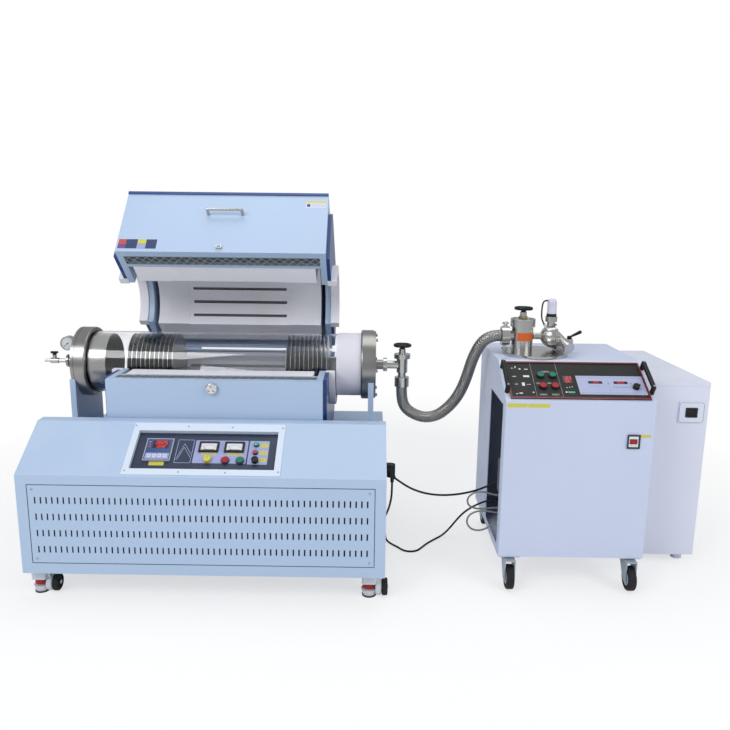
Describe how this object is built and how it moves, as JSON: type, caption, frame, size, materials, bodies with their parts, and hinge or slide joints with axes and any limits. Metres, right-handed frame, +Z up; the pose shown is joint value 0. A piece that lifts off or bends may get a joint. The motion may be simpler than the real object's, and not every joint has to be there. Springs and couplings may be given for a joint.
{
  "type": "vacuum brazing furnace",
  "caption": "Split tube furnace with an open hinged lid over a quartz work tube, joined by a bellows hose to a vacuum pump cart, with a water chiller beside it.",
  "frame": {"origin": "centre of the bounding box of everything but the cables and the hose, on the floor", "axes": "+X to the right along the row of units, as the operator sees it, +Y away from the operator, +Z up"},
  "size_m": [2.648, 1.1288, 1.4345],
  "materials": {
    "shell_paint": "pale blue-white powder coat",
    "blue_trim": "deep blue powder coat",
    "plate_navy": "navy control plate",
    "cart_paint": "white powder coat with a lavender cast",
    "white_insulation": "white ceramic fibre board",
    "polished_steel": "polished stainless steel",
    "shield_steel": "satin stainless sheet",
    "clear_quartz": "clear fused quartz",
    "white_wrap": "white heat resistant sleeve",
    "black_knob": "black plastic",
    "yellow_knob": "yellow plastic",
    "red_button": "red plastic",
    "green_button": "green plastic",
    "controller_case": "silver grey plastic",
    "meter_black": "black meter frames",
    "panel_black": "black rack panel",
    "caster_zinc": "zinc plated pressings",
    "caster_grey": "light grey castings",
    "wheel_black": "black caster wheels",
    "transformer_core": "laminated core and windings",
    "pump_grey": "grey pump casings",
    "gauge_case": "bright gauge case",
    "bellows_steel": "bellows hose under steel braid",
    "cable_black": "black cable"
  },
  "bodies": {
    "furnace": {"angle_valve": "polished_steel", "base_cabinet": "shell_paint", "cart_cabinet": "cart_paint", "cart_handles": "black_knob", "cart_panel": "panel_black", "chiller_case": "cart_paint", "control_bezel": "shell_paint", "control_plate": "plate_navy", "gas_valve": "polished_steel", "gauge_head": "polished_steel", "gauge_lead": "cable_black", "heat_shields": "shield_steel", "left_flange": "polished_steel", "levelling_casters": "caster_grey", "lower_end_panels": "blue_trim", "lower_heater": "white_insulation", "lower_shell": "shell_paint", "main_valve": "polished_steel", "panel_indicators": "meter_black", "power_cable": "cable_black", "power_transformer": "transformer_core", "pressure_gauge": "gauge_case", "pump_set": "pump_grey", "quartz_tube": "clear_quartz", "right_flange": "polished_steel", "side_connector": "black_knob", "signal_cable": "cable_black", "temperature_controller": "controller_case", "tube_supports": "shell_paint", "tube_wrap": "white_wrap", "vacuum_hose": "bellows_steel", "valve_manifold": "polished_steel", "vent_panel": "shell_paint"},
    "lid": {"lid_shell": "shell_paint", "lid_panels": "blue_trim", "lid_heater": "white_insulation", "lid_handle": "polished_steel"},
    "latch": {"latch_knob": "polished_steel"},
    "selector_yellow": {"selector_yellow": "yellow_knob"},
    "selector_black": {"selector_black": "black_knob"},
    "button_red": {"button_red": "red_button"},
    "button_green": {"button_green": "green_button"},
    "gas_lever": {"gas_valve_lever": "black_knob"},
    "angle_handwheel": {"angle_handwheel": "black_knob"},
    "main_handwheel": {"main_handwheel": "black_knob"},
    "manifold_lever": {"manifold_lever": "black_knob"},
    "cart_button_start_a": {"cart_button_start_a": "green_button"},
    "cart_button_stop_a": {"cart_button_stop_a": "red_button"},
    "cart_button_start_b": {"cart_button_start_b": "green_button"},
    "cart_button_stop_b": {"cart_button_stop_b": "red_button"},
    "cart_knob": {"cart_knob": "black_knob"},
    "breaker_rocker": {"breaker_rocker": "red_button"},
    "chiller_rocker": {"chiller_rocker": "black_knob"},
    "fork_left": {"cart_fork_left": "caster_zinc"},
    "fork_right": {"cart_fork_right": "caster_zinc"},
    "wheel_left": {"cart_wheel_left": "wheel_black"},
    "wheel_right": {"cart_wheel_right": "wheel_black"},
    "cart_rear_wheels": {"cart_rear_wheels": "wheel_black"},
    "front_caster_wheels": {"front_caster_wheels": "wheel_black"},
    "rear_caster_wheels": {"rear_caster_wheels": "wheel_black"}
  },
  "joints": [
    {"name": "lid_hinge", "type": "hinge", "parent": "furnace", "child": "lid", "pos_m": [-0.552, 0.36958, 0.7485], "axis": [1, 0, 0], "range_deg": [0, 42]},
    {"name": "latch_turn", "type": "hinge", "parent": "furnace", "child": "latch", "pos_m": [-0.559, -0.31242, 0.7185], "axis": [0, 1, 0], "range_deg": [0, 90]},
    {"name": "selector_yellow_turn", "type": "hinge", "parent": "furnace", "child": "selector_yellow", "pos_m": [-0.542, -0.49919, 0.51158], "axis": [0, -0.5642, 0.8256], "range_deg": [-45, 45]},
    {"name": "selector_black_turn", "type": "hinge", "parent": "furnace", "child": "selector_black", "pos_m": [-0.376, -0.49919, 0.51158], "axis": [0, -0.5642, 0.8256], "range_deg": [-45, 45]},
    {"name": "button_red_press", "type": "slide", "parent": "furnace", "child": "button_red", "axis": [0, 0.5642, -0.8256], "range_m": [0, 0.0025], "stiffness_N_per_m": 400, "springref_m": -0.002},
    {"name": "button_green_press", "type": "slide", "parent": "furnace", "child": "button_green", "axis": [0, 0.5642, -0.8256], "range_m": [0, 0.0025], "stiffness_N_per_m": 400, "springref_m": -0.002},
    {"name": "gas_lever_turn", "type": "hinge", "parent": "furnace", "child": "gas_lever", "pos_m": [-1.283, 0.02258, 0.772], "axis": [0, 0, 1], "range_deg": [0, 90]},
    {"name": "angle_handwheel_turn", "type": "hinge", "parent": "furnace", "child": "angle_handwheel", "pos_m": [0.154, 0.02258, 0.815], "axis": [0, 0, 1], "continuous": true},
    {"name": "main_handwheel_turn", "type": "hinge", "parent": "furnace", "child": "main_handwheel", "pos_m": [0.619, -0.08442, 0.986], "axis": [0, 0, 1], "continuous": true},
    {"name": "manifold_lever_turn", "type": "hinge", "parent": "furnace", "child": "manifold_lever", "pos_m": [0.805, -0.08442, 0.884], "axis": [0, 0, 1], "range_deg": [0, 90]},
    {"name": "cart_start_a_press", "type": "slide", "parent": "furnace", "child": "cart_button_start_a", "axis": [0, 0.5155, -0.8569], "range_m": [0, 0.0025], "stiffness_N_per_m": 400, "springref_m": -0.002},
    {"name": "cart_stop_a_press", "type": "slide", "parent": "furnace", "child": "cart_button_stop_a", "axis": [0, 0.5155, -0.8569], "range_m": [0, 0.0025], "stiffness_N_per_m": 400, "springref_m": -0.002},
    {"name": "cart_start_b_press", "type": "slide", "parent": "furnace", "child": "cart_button_start_b", "axis": [0, 0.5155, -0.8569], "range_m": [0, 0.0025], "stiffness_N_per_m": 400, "springref_m": -0.002},
    {"name": "cart_stop_b_press", "type": "slide", "parent": "furnace", "child": "cart_button_stop_b", "axis": [0, 0.5155, -0.8569], "range_m": [0, 0.0025], "stiffness_N_per_m": 400, "springref_m": -0.002},
    {"name": "cart_knob_turn", "type": "hinge", "parent": "furnace", "child": "cart_knob", "pos_m": [0.972, -0.371, 0.74954], "axis": [0, -0.5155, 0.8569], "range_deg": [-150, 150]},
    {"name": "breaker_rock", "type": "hinge", "parent": "furnace", "child": "breaker_rocker", "pos_m": [0.958, -0.42042, 0.572], "axis": [1, 0, 0], "range_deg": [-7, 7]},
    {"name": "chiller_rock", "type": "hinge", "parent": "furnace", "child": "chiller_rocker", "pos_m": [1.259, -0.19142, 0.62], "axis": [1, 0, 0], "range_deg": [-5, 5]},
    {"name": "fork_left_swivel", "type": "hinge", "parent": "furnace", "child": "fork_left", "pos_m": [0.544, -0.38442, 0.1187], "axis": [0, 0, 1], "continuous": true},
    {"name": "wheel_left_roll", "type": "hinge", "parent": "fork_left", "child": "wheel_left", "pos_m": [0.544, -0.42942, 0.0465], "axis": [1, 0, 0], "continuous": true},
    {"name": "fork_right_swivel", "type": "hinge", "parent": "furnace", "child": "fork_right", "pos_m": [0.988, -0.38442, 0.1187], "axis": [0, 0, 1], "continuous": true},
    {"name": "wheel_right_roll", "type": "hinge", "parent": "fork_right", "child": "wheel_right", "pos_m": [0.988, -0.42942, 0.0465], "axis": [1, 0, 0], "continuous": true},
    {"name": "cart_rear_roll", "type": "hinge", "parent": "furnace", "child": "cart_rear_wheels", "pos_m": [0.544, 0.14258, 0.0465], "axis": [1, 0, 0], "continuous": true},
    {"name": "front_caster_roll", "type": "hinge", "parent": "furnace", "child": "front_caster_wheels", "pos_m": [-0.552, -0.48942, 0.0325], "axis": [1, 0, 0], "continuous": true},
    {"name": "rear_caster_roll", "type": "hinge", "parent": "furnace", "child": "rear_caster_wheels", "pos_m": [-0.552, 0.30558, 0.0325], "axis": [1, 0, 0], "continuous": true}
  ]
}
